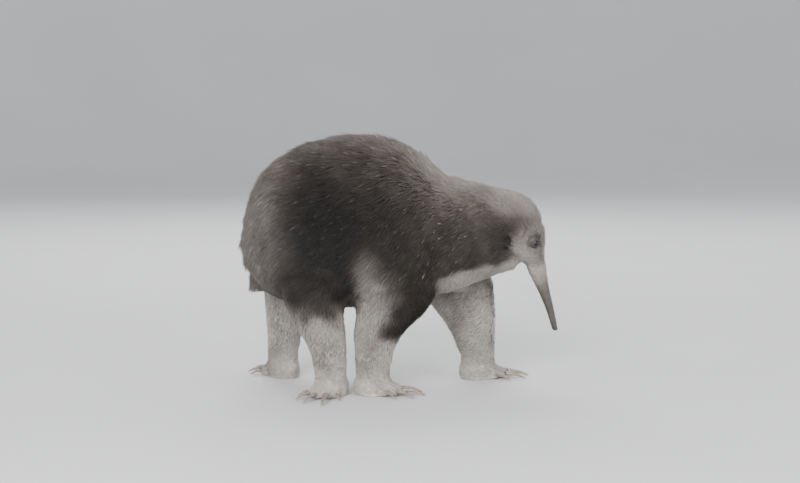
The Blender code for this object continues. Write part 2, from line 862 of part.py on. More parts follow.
def build():
    """The whole animal."""
    clear_scene()
    dome = ball("dome", mm(DOME_CENTRE), mm(DOME_RADII))
    pieces = [trunk_form(), dome, muzzle_form("muzzle")]
    body = fused("body", pieces + [leg_form(leg) for leg in LEGS], BODY_FUSE)
    dome = ball("dome", mm(DOME_CENTRE), mm(DOME_RADII))
    front = fused("front", [trunk_form(), dome, muzzle_form("muzzle")], FRONT_FUSE)
    torso, neck, legs = part_body(body)
    head, beak = head_and_beak(front)
    ears = [make_ear(head, 1, "ear_left"), make_ear(head, -1, "ear_right")]
    eyes = [add_eye(head, 1, "eye_left"), add_eye(head, -1, "eye_right")]
    tail = make_tail(torso)
    feet = [make_foot(foot) for foot in FEET]
    claws = [claw for foot in feet for claw in make_claws(foot.name, foot)]
    add_spines(neck, [torso, head, *legs])
    add_spines(torso, [neck, tail, *legs])
    groups = {
        "coat_dark": [torso, tail],
        "coat_grey": [neck, head, *ears],
        "coat_pale": [*legs, *feet],
        "bare_skin": [beak],
        "horn": claws,
        "eye_dark": eyes,
    }
    for name, things in groups.items():
        for thing in things:
            finish(thing, name)
    centre_model([thing for things in groups.values() for thing in things])


build()
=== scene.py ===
# %% [markdown]
# # A long-beaked echidna in its coat
# This lesson dresses a still, life-size model of a long-beaked echidna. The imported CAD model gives
# every place and size. Blender adds the skin, the plush coat, the short spines, the claws and the
# eyes, and a plain studio round them. All lengths are in metres, and +Z is up.

import json
import math

import bpy
import numpy as np
from mathutils import Matrix, Vector
from mathutils.bvhtree import BVHTree
from mathutils.kdtree import KDTree

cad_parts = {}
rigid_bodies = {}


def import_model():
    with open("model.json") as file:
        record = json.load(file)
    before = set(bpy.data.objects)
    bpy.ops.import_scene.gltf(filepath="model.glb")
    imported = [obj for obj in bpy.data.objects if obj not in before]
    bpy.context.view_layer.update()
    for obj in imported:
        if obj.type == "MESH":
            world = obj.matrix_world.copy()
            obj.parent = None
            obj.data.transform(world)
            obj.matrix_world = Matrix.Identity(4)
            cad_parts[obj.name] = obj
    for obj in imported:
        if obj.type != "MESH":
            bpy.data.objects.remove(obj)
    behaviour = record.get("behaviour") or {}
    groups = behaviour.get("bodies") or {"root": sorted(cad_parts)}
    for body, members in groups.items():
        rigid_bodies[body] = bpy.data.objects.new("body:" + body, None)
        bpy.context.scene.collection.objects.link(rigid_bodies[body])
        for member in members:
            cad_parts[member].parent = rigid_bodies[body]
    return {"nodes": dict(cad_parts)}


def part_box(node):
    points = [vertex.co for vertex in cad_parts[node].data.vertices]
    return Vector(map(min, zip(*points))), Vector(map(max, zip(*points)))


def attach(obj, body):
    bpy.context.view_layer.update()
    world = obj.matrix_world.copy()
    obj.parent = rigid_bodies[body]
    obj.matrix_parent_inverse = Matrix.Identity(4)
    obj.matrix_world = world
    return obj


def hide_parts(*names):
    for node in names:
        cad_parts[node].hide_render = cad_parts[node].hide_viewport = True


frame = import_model()
NODES = frame["nodes"]
for thing in list(bpy.data.objects):
    if thing.name not in NODES and not thing.name.startswith("body:"):
        bpy.data.objects.remove(thing, do_unlink=True)
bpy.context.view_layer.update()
MM = 0.001

# %% [markdown]
# ## The camera
# The photograph looks at the right flank from a little above. A long lens at a fair distance keeps
# the near and the far legs in proportion, as they are there. The aim is the point of the animal
# that lies in the middle of the picture.

# %% Camera
AIM = Vector((3.3, 0, 136)) * MM
ELEVATION = math.radians(6)
DISTANCE = 1757 * MM
LENS = 85

bpy.ops.object.camera_add()
camera = bpy.context.object
camera.name = "camera"
camera.data.lens = LENS
camera.location = AIM + DISTANCE * Vector((0, -math.cos(ELEVATION), math.sin(ELEVATION)))
camera.rotation_euler = (math.radians(90) - ELEVATION, 0, 0)
bpy.context.scene.camera = camera
print("camera at", [round(v, 3) for v in camera.location])

# %% [markdown]
# ## Working by hand, in code
# An operator acts on what is selected, so each step starts with nothing selected. These helpers
# select an object, apply its modifiers, and read and write its vertices as arrays of numbers.

# %% Helpers for objects


def select_only(*pieces):
    """Select these objects alone, and make the first one active."""
    if bpy.context.object and bpy.context.object.mode != "OBJECT":
        bpy.ops.object.mode_set(mode="OBJECT")
    bpy.ops.object.select_all(action="DESELECT")
    for piece in pieces:
        piece.select_set(True)
    bpy.context.view_layer.objects.active = pieces[0]
    return pieces[0]


def edit_all():
    """Edit the active object, with everything in it selected."""
    bpy.ops.object.mode_set(mode="EDIT")
    bpy.ops.mesh.select_all(action="SELECT")


def applied(piece, kind, **settings):
    """Add a modifier to a piece, set it and apply it."""
    select_only(piece)
    step = piece.modifiers.new(kind.lower(), kind)
    for name, value in settings.items():
        setattr(step, name, value)
    bpy.ops.object.modifier_apply(modifier=step.name)
    return piece


def cut_or_join(piece, tool, operation):
    """Apply a Boolean of a piece with a tool. If it loses the piece, a second solver does it."""
    before = piece.data.copy()
    applied(piece, "BOOLEAN", operation=operation, object=tool, solver="EXACT")
    if len(piece.data.polygons) < len(before.polygons) / 2:
        piece.data = before
        applied(piece, "BOOLEAN", operation=operation, object=tool, solver="MANIFOLD")
        print("second solver used on", piece.name)
    else:
        bpy.data.meshes.remove(before)
    bpy.data.objects.remove(tool, do_unlink=True)
    return piece


def places_of(piece):
    """The places of a piece's vertices, one row each."""
    flat = np.empty(len(piece.data.vertices) * 3, np.float32)
    piece.data.vertices.foreach_get("co", flat)
    return flat.reshape(-1, 3).astype(float)


def normals_of(piece):
    """The directions in which a piece's vertices face, one row each."""
    flat = np.empty(len(piece.data.vertices) * 3, np.float32)
    piece.data.vertex_normals.foreach_get("vector", flat)
    return flat.reshape(-1, 3).astype(float)


def move_to(piece, places):
    """Put a piece's vertices at new places."""
    piece.data.vertices.foreach_set("co", places.astype(np.float32).ravel())
    piece.data.update()


def placed(name, mesh):
    """A new object in the scene, from a mesh."""
    made = bpy.data.objects.new(name, mesh)
    bpy.context.scene.collection.objects.link(made)
    return made


def merged_copy(name, node_names):
    """One new object from copies of CAD nodes, with doubles merged."""
    copies = [placed(name, NODES[node_name].data.copy()) for node_name in node_names]
    whole = select_only(*copies)
    if len(copies) > 1:
        bpy.ops.object.join()
    edit_all()
    bpy.ops.mesh.remove_doubles(threshold=0.01 * MM)
    bpy.ops.object.mode_set(mode="OBJECT")
    whole.name = name
    whole.data.materials.clear()
    return whole


# %% Helpers for numbers


def ease(low, high, value):
    """A smooth step from 0 at low to 1 at high, for arrays."""
    t = np.clip((value - low) / (high - low), 0, 1)
    return t * t * (3 - 2 * t)


def unit(rows):
    """Rows scaled to length 1."""
    return rows / np.maximum(np.linalg.norm(rows, axis=1, keepdims=True), 1e-9)


def ripple(places, size, seed):
    """A smooth random value of about -1 to 1 that changes over the given size."""
    draw = np.random.default_rng(seed)
    ways = unit(draw.normal(size=(8, 3))) * draw.uniform(0.6, 1.5, (8, 1))
    phases = draw.uniform(0, math.tau, 8)
    return np.sin(places @ ways.T * (math.tau / size) + phases).sum(1) / 2.4


# %% [markdown]
# ## The skin
# On the animal one skin runs from the beak to the tail. The CAD nodes are closed bodies with thin
# gaps between them and with spines on the trunk, so the skin is remade from copies of them. The
# trunk is first remeshed with voxels wider than a spine and smoothed, which takes the spines away.
# This is done twice, with the head and forelegs and with the hind legs, so that no groove is left
# where they meet the trunk and no web between a foreleg and a hind leg. Then all the flesh is
# joined and remeshed finely, which closes the gaps. The thin bare beak gets smaller faces than the
# rest, as no hair hides its outline.

# %% Trunk without spines
TRUNK_NODES = ["torso", "neck", "tail"]
LEG_NODES = ["foreleg_left", "foreleg_right", "hindleg_left", "hindleg_right"]
FOOT_NODES = ["forefoot_left", "forefoot_right", "hindfoot_left", "hindfoot_right"]
FLESH = TRUNK_NODES + LEG_NODES + FOOT_NODES + ["head", "beak", "ear_left", "ear_right"]
TRUNK_VOXEL, TRUNK_SMOOTHING = 4 * MM, 16
SKIN_VOXEL, SKIN_SMOOTHING = 1.6 * MM, 5

coarse = []
for name, others in (("front", ["head", *LEG_NODES[:2]]), ("rear", LEG_NODES[2:])):
    form = merged_copy(name, TRUNK_NODES + others)
    applied(form, "REMESH", mode="VOXEL", voxel_size=TRUNK_VOXEL)
    applied(form, "SMOOTH", factor=0.5, iterations=TRUNK_SMOOTHING)
    coarse.append(form)
    print(name, "without spines:", len(form.data.polygons), "faces")

# %% One skin
limbs = merged_copy("limbs", [name for name in FLESH if name not in TRUNK_NODES])
skin = select_only(*coarse, limbs)
bpy.ops.object.join()
skin.name = "skin"
applied(skin, "REMESH", mode="VOXEL", voxel_size=SKIN_VOXEL)
applied(skin, "SMOOTH", factor=0.5, iterations=SKIN_SMOOTHING)
print("skin:", len(skin.data.polygons), "faces")

# %% Finer faces on the beak
BEAK_ZONE = np.array((111, -60, 46)) * MM, np.array((170, 60, 116)) * MM
select_only(skin)
bpy.ops.object.mode_set(mode="EDIT")
bpy.ops.mesh.select_mode(type="FACE")
bpy.ops.mesh.select_all(action="DESELECT")
bpy.ops.object.mode_set(mode="OBJECT")
centres = np.array([face.center for face in skin.data.polygons])
on_beak = ((centres > BEAK_ZONE[0]) & (centres < BEAK_ZONE[1])).all(1)
skin.data.polygons.foreach_set("select", on_beak)
bpy.ops.object.mode_set(mode="EDIT")
bpy.ops.mesh.subdivide(number_cuts=1, smoothness=1.0)
bpy.ops.mesh.vertices_smooth(factor=0.5, repeat=3)
bpy.ops.object.mode_set(mode="OBJECT")
print("faces divided on the beak:", int(on_beak.sum()))

# %% [markdown]
# ## Which part is where
# The depth of the coat, the way it lies and its colours change from part to part. For any place on
# the skin, the distance to each group of CAD nodes tells how much it belongs to trunk, head, beak,
# leg or foot. Shares that fade over a few millimetres keep every change soft.

# %% Shares of the parts
PARTS = {
    "trunk": TRUNK_NODES,
    "head": ["head"],
    "beak": ["beak"],
    "ear": ["ear_left", "ear_right"],
    "foreleg": LEG_NODES[:2],
    "hindleg": LEG_NODES[2:],
    "foot": FOOT_NODES,
}
FADE = {"trunk": 4, "head": 4, "beak": 2, "ear": 1.5, "foreleg": 4, "hindleg": 4, "foot": 3}


def tree_of(node_names):
    """A search tree over the faces of some CAD nodes."""
    corners, faces = [], []
    for node_name in node_names:
        mesh = NODES[node_name].data
        start = len(corners)
        corners += [v.co.copy() for v in mesh.vertices]
        faces += [[start + i for i in p.vertices] for p in mesh.polygons]
    return BVHTree.FromPolygons(corners, faces)


def shares_at(places):
    """How much each place belongs to each part, as rows that add up to 1."""
    columns = []
    for part, node_names in PARTS.items():
        tree = tree_of(node_names)
        apart = np.array([tree.find_nearest(Vector(p))[3] for p in places])
        columns.append(np.exp(-apart / (FADE[part] * MM)))
    table = np.array(columns)
    table /= table.sum(0)
    return dict(zip(PARTS, table))


shares = shares_at(places_of(skin))
print({part: int((share > 0.5).sum()) for part, share in shares.items()})

# %% [markdown]
# ## The depth of the coat
# On the back the spines' tips stand 7 mm over the core of the CAD model. Elsewhere the CAD surface
# is the coat's own outside. So the coat is deepest on the back, thinner on belly, legs and head,
# and gone at the eyes and the beak, which are bare. The skin sinks by what is missing between that
# depth and the room that the core already leaves. Every change follows the height between the belly
# line and the back, so trunk and legs run into each other without a step.

# %% Where a place is on the body
MIDDLE_Y = 1.0 * MM
OUTLINE_X = (-135, -109, -71, -23, 13, 47, 83, 111)
OUTLINE_TOP = (179, 213, 231, 235, 223, 199, 190, 183)
OUTLINE_BOTTOM = (101, 82, 75, 75, 81, 90, 104, 114)


def middle_of(node_name):
    """The middle of a CAD node's box."""
    low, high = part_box(node_name)
    return (low + high) / 2


EYES = {side: middle_of("eye_" + side) for side in ("left", "right")}
EARS = {side: middle_of("ear_" + side) for side in ("left", "right")}
BEAK_ROOT = Vector((125.7, 1, 112)) * MM
BEAK_WAY = Vector((0.2526, 0, -0.9676))


def height_share(places):
    """The height of each place between the belly line at 0 and the top of the back at 1."""
    x, z = places[:, 0] / MM, places[:, 2] / MM
    bottom = np.interp(x, OUTLINE_X, OUTLINE_BOTTOM)
    return (z - bottom) / (np.interp(x, OUTLINE_X, OUTLINE_TOP) - bottom)


def distance_to(points, places):
    """The distance from each place to the nearest of some points."""
    rows = [np.linalg.norm(places - np.array(point), axis=1) for point in points]
    return np.min(rows, axis=0)


# %% Coat depth
BACK_DEPTH, NECK_DEPTH, HEAD_DEPTH = 7 * MM, 4.5 * MM, 3.0 * MM
LEG_DEPTH, FOOT_DEPTH, THROAT_ROOM = 2.8 * MM, 0.9 * MM, 3.2 * MM


def core_room(places):
    """How far the CAD core already lies under the coat's outside."""
    x = places[:, 0] / MM
    rise = BACK_DEPTH + (NECK_DEPTH - BACK_DEPTH) * ease(29, 64, x)
    room = rise * (1 - ease(69, 104, x)) * ease(0.09, 0.29, height_share(places))
    throat = ease(30, 50, x) * (1 - ease(108, 122, x)) * (1 - ease(0.1, 0.3, height_share(places)))
    return room + THROAT_ROOM * throat * ease(82, 94, places[:, 2] / MM)


def past_nape(places):
    """How far each place lies beyond the join of neck and head, in mm."""
    return (places[:, 0] / MM - 79) * 0.953 + (places[:, 2] / MM - 157) * 0.303


def bareness(places):
    """1 where no hair grows, on the beak and at the eyes, and 0 in full coat."""
    bare = 1 - ease(4.1 * MM, 7.4 * MM, distance_to(EYES.values(), places))
    along = (places - np.array(BEAK_ROOT)) @ np.array(BEAK_WAY)
    near = 1 - ease(30 * MM, 40 * MM, distance_to([BEAK_ROOT], places))
    beak = np.maximum(ease(-10 * MM, 5 * MM, along) * near, ease(5 * MM, 8 * MM, along))
    beak *= ease(105, 118, places[:, 0] / MM)
    ears = 0.6 - 0.6 * ease(3 * MM, 6.5 * MM, distance_to(EARS.values(), places))
    return np.maximum(np.maximum(bare, beak), ears)


def coat_depth(places, normals):
    """How far the coat's outside stands over the skin."""
    x, z = places[:, 0] / MM, places[:, 2] / MM
    top = BACK_DEPTH + (NECK_DEPTH - BACK_DEPTH) * ease(29, 64, x)
    top += (HEAD_DEPTH - NECK_DEPTH) * ease(69, 104, x)
    low = FOOT_DEPTH + (LEG_DEPTH - FOOT_DEPTH) * ease(14, 42, z)
    low *= np.maximum(ease(-0.6, -0.1, normals[:, 2]), ease(20, 40, z))
    low += (HEAD_DEPTH - low) * ease(40, 80, x) * ease(84, 100, z)
    depth = low + (top - low) * ease(0.05, 0.33, height_share(places))
    return depth * (1 - bareness(places))


places, normals = places_of(skin), normals_of(skin)
sink = np.maximum(coat_depth(places, normals) - core_room(places), 0)
BEAK_SWELL = 0.4 * MM
FOLD_SIZE, FOLD_HEIGHT, FOLD_ZONE = 5.5 * MM, 0.16 * MM, (12 * MM, 28 * MM)
from_root = distance_to([BEAK_ROOT], places)
folds = FOLD_HEIGHT * np.sin(from_root * math.tau / FOLD_SIZE) * (1 - ease(*FOLD_ZONE, from_root))
swell = BEAK_SWELL * shares["beak"] + folds
move_to(skin, places + normals * (swell - sink)[:, None])
applied(skin, "SMOOTH", factor=0.4, iterations=2)
print("the skin sinks by up to", round(sink.max() / MM, 1), "mm")

# %% [markdown]
# ## Mouth, nostrils and lids
# Remeshing closes fine details, so they are cut again into the finished skin. The mouth is a short
# groove round the tip of the beak, with a slanted nostril on each side above it. Each eye sits in a
# round socket between two low lids, which are a flattened ring joined to the skin.

# %% Tools for the face
BEAK_TIP = Vector((148.1, 1, 54)) * MM
BEAK_UPPER = Vector((0.9676, 0, 0.2526))
BEAK_FRAME = Matrix((BEAK_WAY, (0, 1, 0), BEAK_UPPER)).transposed()
MOUTH_SIZE, MOUTH_AHEAD, MOUTH_BELOW = Vector((19, 18, 0.55)) * MM, 2.4, 0.8
MOUTH_INSIDE, MOUTH_FRONT = Vector((19, 4.4, 3)) * MM, 1.2 * MM
NOSTRIL_SIZE = Vector((1.9, 0.75, 1.2)) * MM
NOSTRIL_BACK, NOSTRIL_ABOVE, NOSTRIL_ASIDE = 5.5, 3.0, 1.6
EYE_RADIUS, SOCKET_ROOM, EYE_SURROUNDINGS = 3.4 * MM, 0.12 * MM, (4.5 * MM, 9 * MM)


def shaped(name, size, turn, centre):
    """Put the newest primitive's shape in its mesh: scaled, turned and moved."""
    piece = bpy.context.object
    piece.name = name
    piece.data.transform(Matrix.LocRotScale(centre, turn.to_quaternion(), size))
    return piece


def facing(centre, near, far):
    """The way that the skin faces in a ring round a point."""
    spots, ways = places_of(skin), normals_of(skin)
    apart = np.linalg.norm(spots - np.array(centre), axis=1)
    return Vector(ways[(apart > near) & (apart < far)].mean(0)).normalized()


def eye_turn(way):
    """A frame whose third axis is the way the eye faces, and whose first runs level."""
    level = Vector((0, 0, 1)).cross(way).normalized()
    return Matrix((level, way.cross(level), way)).transposed()


EYE_WAYS = {side: facing(EYES[side], *EYE_SURROUNDINGS) for side in EYES}
print("the eyes face", [tuple(round(v, 2) for v in way) for way in EYE_WAYS.values()])

# %% Cut the mouth, nostrils and sockets
cutters = []
bpy.ops.mesh.primitive_cube_add(size=1)
middle = BEAK_TIP + BEAK_WAY * MOUTH_AHEAD * MM - BEAK_UPPER * MOUTH_BELOW * MM
mouth_cutter = shaped("mouth_cutter", MOUTH_SIZE, BEAK_FRAME, middle)
bpy.ops.mesh.primitive_cube_add(size=1)
middle -= BEAK_WAY * (MOUTH_SIZE.x / 2 + MOUTH_FRONT)
cut_or_join(mouth_cutter, shaped("inside", MOUTH_INSIDE, BEAK_FRAME, middle), "DIFFERENCE")
cutters.append(mouth_cutter)
for side in (-1, 1):
    bpy.ops.mesh.primitive_uv_sphere_add(segments=20, ring_count=12, radius=1)
    middle = BEAK_TIP - BEAK_WAY * NOSTRIL_BACK * MM + BEAK_UPPER * NOSTRIL_ABOVE * MM
    middle.y += NOSTRIL_ASIDE * MM * side
    cutters.append(shaped("nostril_cutter", NOSTRIL_SIZE, BEAK_FRAME, middle))
for side, centre in EYES.items():
    bpy.ops.mesh.primitive_uv_sphere_add(segments=32, ring_count=20, radius=1)
    size = Vector((1, 1, 1)) * (EYE_RADIUS + SOCKET_ROOM)
    cutters.append(shaped("socket_cutter", size, Matrix.Identity(3), centre))
cutter = select_only(*cutters)
bpy.ops.object.join()
cut_or_join(skin, cutter, "DIFFERENCE")
print("skin with mouth, nostrils and sockets:", len(skin.data.polygons), "faces")

# %% Lids
LID_RISE, LID_SIZE, LID_THICKNESS = 1.75 * MM, Vector((3.55, 2.95, 3.3)) * MM, 0.22
lids = []
for side, centre in EYES.items():
    bpy.ops.mesh.primitive_torus_add(
        major_segments=40, minor_segments=12, major_radius=1, minor_radius=LID_THICKNESS
    )
    turn = eye_turn(EYE_WAYS[side])
    lids.append(shaped("lids", LID_SIZE, turn, centre + EYE_WAYS[side] * LID_RISE))
lid_rings = select_only(*lids)
bpy.ops.object.join()
cut_or_join(skin, lid_rings, "UNION")
print("skin with lids:", len(skin.data.polygons), "faces")

# %% [markdown]
# ## Markings
# The picture is a night picture in greys. It shows a coat that is nearly black on the flanks and
# the cheek, and paler along the middle of the back and rump, on the crown and on the brow. The
# lower legs, the throat, a band behind the beak and the beak are pale. Functions of the place give
# these tones, and both the skin and every tuft read them. Most are markings of the animal, but the
# pale top of the back, nape and rump is painted sheen, as fur looks paler at its edge, and the
# darker skin round the eyes is partly painted shade of the sockets. Tones run from 0, the darkest,
# to 1, the palest, and a short table turns them into brown-grey colours.

# %% Tones and colours
TONE_STEPS = (0.0, 0.25, 0.5, 0.75, 1.0)
REDS = (0.012, 0.038, 0.105, 0.3, 0.62)
GREENS = (0.0098, 0.032, 0.09, 0.272, 0.58)
BLUES = (0.0085, 0.0275, 0.078, 0.243, 0.53)


def colours_of(tones):
    """The colour of each tone, in red, green and blue."""
    return np.stack([np.interp(tones, TONE_STEPS, part) for part in (REDS, GREENS, BLUES)], 1)


def spot(places, centre, radii, soft=0.5):
    """1 inside an ellipse seen from the side, fading to 0 outside it, with sizes in mm."""
    across = (places[:, 0] / MM - centre[0]) / radii[0]
    upward = (places[:, 2] / MM - centre[1]) / radii[1]
    return 1 - ease(1 - soft, 1 + soft, np.hypot(across, upward))


def toward(tones, goal, share):
    """Tones moved toward a goal by a share."""
    return tones + (goal - tones) * np.clip(share, 0, 1)


def spotted(tones, places, spots, share=1.0):
    """Tones with spots over them, each a tone, a strength, a centre, radii and a softness."""
    for tone, strength, *form in spots:
        tones = toward(tones, tone, strength * spot(places, *form) * share)
    return tones


def outward_of(places, normals):
    """How far each place faces away from the animal's middle, from -1 to 1."""
    return normals[:, 1] * np.sign(places[:, 1] - MIDDLE_Y)


# Tones along the side, by x: the dark flank, and the pale rear of the rump, which is painted sheen
# at the coat's edge.
SIDE_X = (-140, -111, -98, -86, -75, -50, -34, 0, 30, 60, 90)
SIDE_TONES_AND_RUMP_SHEEN = (0.63, 0.62, 0.46, 0.2, 0.02, 0.0, 0.08, 0.23, 0.28, 0.33, 0.33)
ELBOW_RIGHT, ELBOW_LEFT = ((-21, 117), (14, 22), 0.7), ((26, 98), (12, 20), 0.7)


def trunk_tones(places, normals):
    """Tones of trunk and neck: dark flanks that turn pale toward the back, rump and nape, a painted
    sheen.
    """
    x, z = places[:, 0] / MM, places[:, 2] / MM
    forward = ease(0, 40, x)
    low, span = 0.55 - 0.05 * forward, 0.45 - 0.03 * forward
    wander = 0.016 * ripple(places, 40 * MM, 11)
    # Paler toward the top of the back and nape: painted sheen, as fur looks paler at its edge.
    top = np.clip((height_share(places) + wander - low) / span, 0, 1) ** (1.75 - 0.45 * forward)
    lower = 1 - ease(0.3, 0.65, height_share(places))
    side = np.interp(x + 120 * wander - 6 * lower, SIDE_X, SIDE_TONES_AND_RUMP_SHEEN)
    tones = side + (0.57 + 0.12 * forward - side) * top
    tones += 0.035 * ripple(places, 11 * MM, 23) * forward * (1 - top)
    right = places[:, 1] < MIDDLE_Y
    elbow = np.where(right, spot(places, *ELBOW_RIGHT), spot(places, *ELBOW_LEFT))
    tones = toward(tones, 0.72, 0.9 * elbow)
    belly = ease(0.4, 0.9, -normals[:, 2]) * (1 - ease(88, 100, z)) * ease(-125, -105, x)
    return toward(tones, 0.3, 0.7 * belly)


THROAT_X, THROAT_Z = (34, 60, 110), (110, 115, 121)


def throat_share(places):
    """1 on the pale throat, up to a line from the foreleg to the chin, and 0 above."""
    x, z = places[:, 0] / MM, places[:, 2] / MM
    line = np.interp(x, THROAT_X, THROAT_Z)
    share = ease(31, 43, x) * (1 - ease(108, 122, x))
    share *= (1 - ease(-3, 5, z - line)) * ease(78, 90, z)
    y = places[:, 1] / MM
    on_leg = np.maximum(ease(37, 50, y), ease(14, 30, y) * ease(100, 108, z))
    return share * (1 - on_leg * (1 - ease(86, 101, x)))


HEAD_TONE, BROW_TONE, EYE_SKIN_AND_SOCKET_SHADE, EAR_TONE = 0.66, 0.74, 0.26, 0.16
CHEEK = (0.33, 1.0, (84, 147), (33, 38), 0.4), (0.2, 0.8, (82, 132), (14, 13), 0.7)
TEMPLE = (0.2, 0.9, (109, 151), (15, 9), 0.8)
CROWN = (0.77, 1.0, (111, 179), (31, 21), 0.85)
PALE_BAND = (0.84, 0.9, (118.5, 130), (7.5, 17), 0.95)
BEAK_BASE = (0.86, 0.7, (124, 117), (10, 9), 0.7)
# Round each eye a grey patch: its darker skin, and painted shade of the socket.
EYE_PATCH_AND_SOCKET_SHADE = (0.6, 0.8, (128, 138), (9, 13), 0.7)


def head_tones(places, normals):
    """Tones of the head: a pale crown and brow, a dark cheek and a pale band by the beak."""
    aside = ease(0.15, 0.6, np.abs(normals[:, 1]))
    tones = spotted(np.full(len(places), HEAD_TONE), places, CHEEK, aside)
    tones = toward(tones, BROW_TONE, ease(0.3, 0.8, normals[:, 0]))
    tones = spotted(tones, places, [TEMPLE], aside)
    tones = spotted(tones, places, [CROWN, PALE_BAND, BEAK_BASE, EYE_PATCH_AND_SOCKET_SHADE])
    # Darkest next to the eyes: the bare skin's own dark, and painted shade of the sockets.
    near = 1 - ease(3.9 * MM, 6.8 * MM, distance_to(EYES.values(), places))
    tones = toward(tones, EYE_SKIN_AND_SOCKET_SHADE, near)
    ear = 1 - ease(3.5 * MM, 9 * MM, distance_to(EARS.values(), places))
    return toward(tones, EAR_TONE, ear)


def beak_tones(places):
    """Tones of the beak: palest at its root, and greyer to its tip."""
    along = (places - np.array(BEAK_ROOT)) @ np.array(BEAK_WAY) / MM
    return 0.66 - 0.25 * ease(4, 28, along) - 0.08 * ease(28, 58, along)


FORE_Z = (40, 57, 75, 98)
FORE_RIGHT_X, FORE_LEFT_X = (-19, -13, -4, -1), (73, 68, 60, 51)


def foreleg_tones(places, normals):
    """Tones of the forelegs: dark outside in front, and pale behind, inside and below."""
    x, z = places[:, 0] / MM, places[:, 2] / MM
    right = places[:, 1] < MIDDLE_Y
    axis = np.where(right, np.interp(z, FORE_Z, FORE_RIGHT_X), np.interp(z, FORE_Z, FORE_LEFT_X))
    wander = 2.5 * ripple(places, 24 * MM, 31)
    half = 9 + 9 * ease(60, 95, z)
    lead = ease(-half, half, x - axis + wander)
    least = np.where(right, -0.55, 0.1)
    front = lead * ease(least, least + 0.7, outward_of(places, normals)) * ease(50, 64, z + wander)
    pale = 0.95 - 0.1 * ease(70, 100, z) + 0.04 * ripple(places, 30 * MM, 17)
    tones = toward(pale, 0.17, front)
    return toward(tones, 0.2, ease(114, 128, z) * (0.15 + 0.85 * lead))


def hindleg_tones(places, normals):
    """Tones of the hind legs: dark on the thigh, and pale on the shin and inside."""
    z = places[:, 2] / MM + 5 * ripple(places, 24 * MM, 31)
    thigh = ease(56, 112, z) * ease(-0.6, 0.2, outward_of(places, normals))
    return toward(0.97 + 0.04 * ripple(places, 30 * MM, 17), 0.16, thigh)


def tones_at(places, normals, parts):
    """The tone of skin or coat at each place."""
    tones = parts["trunk"] * trunk_tones(places, normals)
    tones += (parts["head"] + parts["ear"]) * head_tones(places, normals)
    tones += parts["beak"] * beak_tones(places)
    tones += parts["foreleg"] * foreleg_tones(places, normals)
    tones += parts["hindleg"] * hindleg_tones(places, normals)
    tones += parts["foot"] * 0.97
    fleshy = parts["trunk"] + parts["head"] + parts["foreleg"]
    tones = toward(tones, 0.88, throat_share(places) * fleshy)
    return np.clip(tones + 0.025 * ripple(places, 22 * MM, 5), 0, 1)


def paint(piece, colours):
    """Store each vertex's colour where the materials read it."""
    layer = piece.data.attributes.new("marking", "FLOAT_COLOR", "POINT")
    rows = np.concatenate([colours, np.ones((len(colours), 1))], 1)
    layer.data.foreach_set("color", rows.astype(np.float32).ravel())
    return piece


places, normals = places_of(skin), normals_of(skin)
shares = shares_at(places)
tones = tones_at(places, normals, shares)
print("tones from", round(tones.min(), 2), "to", round(tones.max(), 2))

# %% [markdown]
# ## Places for the coat
# A tuft grows from a place on the skin, so places are drawn evenly over its triangles. Each place
# also gets a point on a flat map of the skin, which Blender unwraps from a coarser copy. A tuft's
# own faces all lie in one tiny patch there, so that colours baked from the coat stay in order.

# %% The skin as triangles, and its flat map
MAP_VOXEL = 5 * MM
PATCH = 0.003


def triangles_of(piece):
    """A piece's triangles, as rows of three vertex numbers."""
    piece.data.calc_loop_triangles()
    flat = np.empty(len(piece.data.loop_triangles) * 3, np.int32)
    piece.data.loop_triangles.foreach_get("vertices", flat)
    return flat.reshape(-1, 3)


def flat_map(piece):
    """A piece's coarse unwrapped copy: corners, triangles, map points and a search tree."""
    coarse = placed("coarse", piece.data.copy())
    applied(coarse, "REMESH", mode="VOXEL", voxel_size=MAP_VOXEL)
    applied(coarse, "TRIANGULATE")
    edit_all()
    bpy.ops.uv.smart_project(angle_limit=math.radians(70), island_margin=0.004)
    bpy.ops.object.mode_set(mode="OBJECT")
    flat = np.empty(len(coarse.data.loops) * 2, np.float32)
    coarse.data.uv_layers.active.data.foreach_get("uv", flat)
    corners = places_of(coarse)
    faces = triangles_of(coarse)
    tree = BVHTree.FromPolygons([Vector(c) for c in corners], faces.tolist())
    bpy.data.objects.remove(coarse, do_unlink=True)
    return corners, faces, flat.reshape(-1, 3, 2).astype(float), tree


skin_faces = triangles_of(skin)
map_corners, map_faces, map_points, map_tree = flat_map(skin)
print("skin triangles:", len(skin_faces), " map triangles:", len(map_faces))


def shares_in_triangle(points, corners):
    """How much each point in a triangle belongs to each of its corners."""
    a, b, c = corners[:, 0], corners[:, 1], corners[:, 2]
    ab, ac, ap = b - a, c - a, points - a
    bb, bc, cc = (ab * ab).sum(1), (ab * ac).sum(1), (ac * ac).sum(1)
    pb, pc = (ap * ab).sum(1), (ap * ac).sum(1)
    whole = np.maximum(bb * cc - bc * bc, 1e-20)
    v = (cc * pb - bc * pc) / whole
    w = (bb * pc - bc * pb) / whole
    return np.clip(np.stack([1 - v - w, v, w], 1), 0, 1)


def map_points_at(points):
    """The point of the flat map at each place."""
    found = [map_tree.find_nearest(Vector(p)) for p in points]
    which = np.array([hit[2] for hit in found])
    near = np.array([tuple(hit[0]) for hit in found])
    parts = shares_in_triangle(near, map_corners[map_faces[which]])
    return (map_points[which] * parts[:, :, None]).sum(1)


# %% Scatter roots


